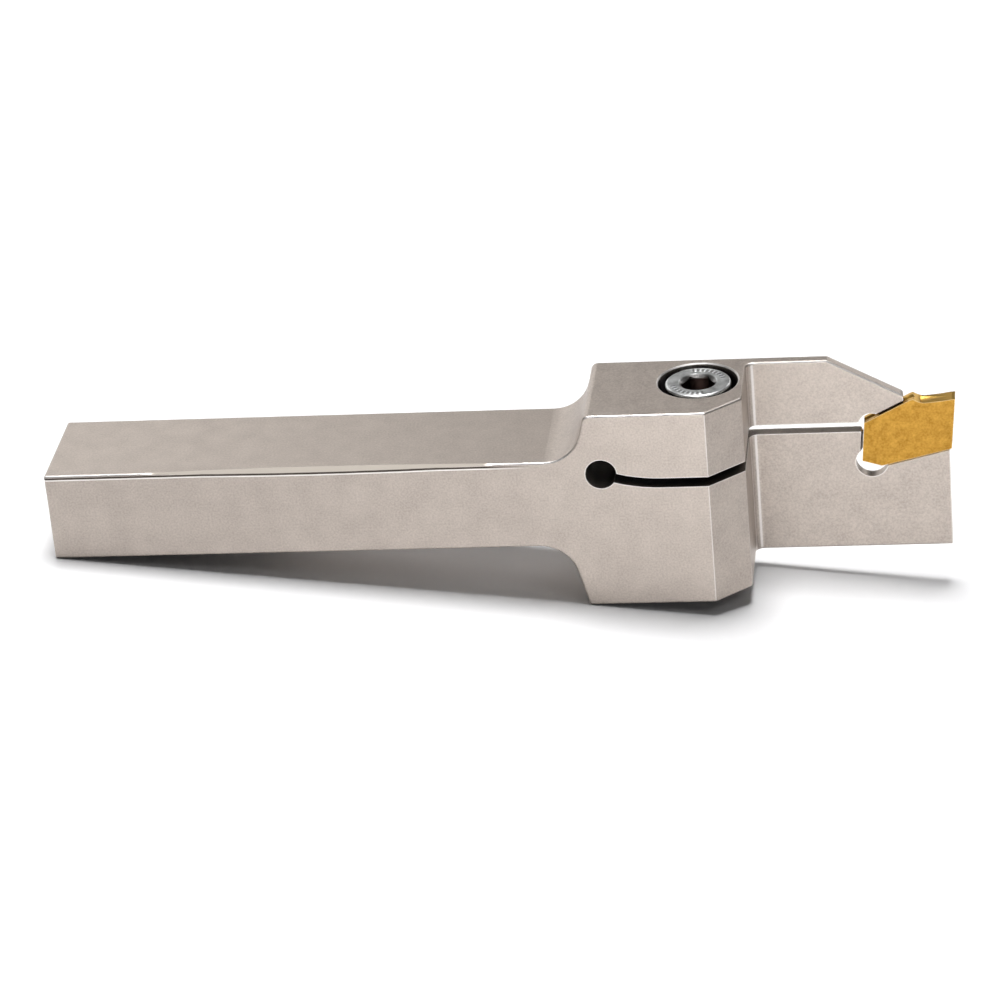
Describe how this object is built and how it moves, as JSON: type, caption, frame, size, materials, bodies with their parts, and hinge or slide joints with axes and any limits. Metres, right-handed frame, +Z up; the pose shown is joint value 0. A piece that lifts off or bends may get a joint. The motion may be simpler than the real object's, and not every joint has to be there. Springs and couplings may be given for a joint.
{
  "type": "turning tool holder",
  "caption": "Parting-off and grooving tool holder: square shank, cut-through clamping head and thin blade with a screw-clamped carbide insert.",
  "frame": {"origin": "on the shank's flat underside, on its centre line, under the middle of the 60 mm that a tool post grips", "axes": "+X along the shank towards the cutting edge, +Y from the shank's plain side to the side that carries the blade, +Z up, the side where the chips leave"},
  "size_m": [0.1169, 0.0164, 0.027],
  "materials": {
    "holder_body": "matt nickel-plated steel with a fine mottled satin grain",
    "clamp_screw": "bright zinc-plated steel, slightly bluish, turned top face",
    "cutting_insert": "gold titanium-nitride coating on ground and sintered carbide"
  },
  "bodies": {
    "holder": {"holder_body": "holder_body"},
    "screw": {"clamp_screw": "clamp_screw"},
    "insert": {"cutting_insert": "cutting_insert"}
  },
  "joints": [
    {"name": "clamp_screw_turn", "type": "hinge", "parent": "holder", "child": "screw", "pos_m": [0.0544, 0.00165, 0.0132], "axis": [0, 0, 1], "range_deg": [0, 720]},
    {"name": "insert_slide", "type": "slide", "parent": "holder", "child": "insert", "axis": [0.9703, 0, 0.2419], "range_m": [0, 0.014]}
  ]
}
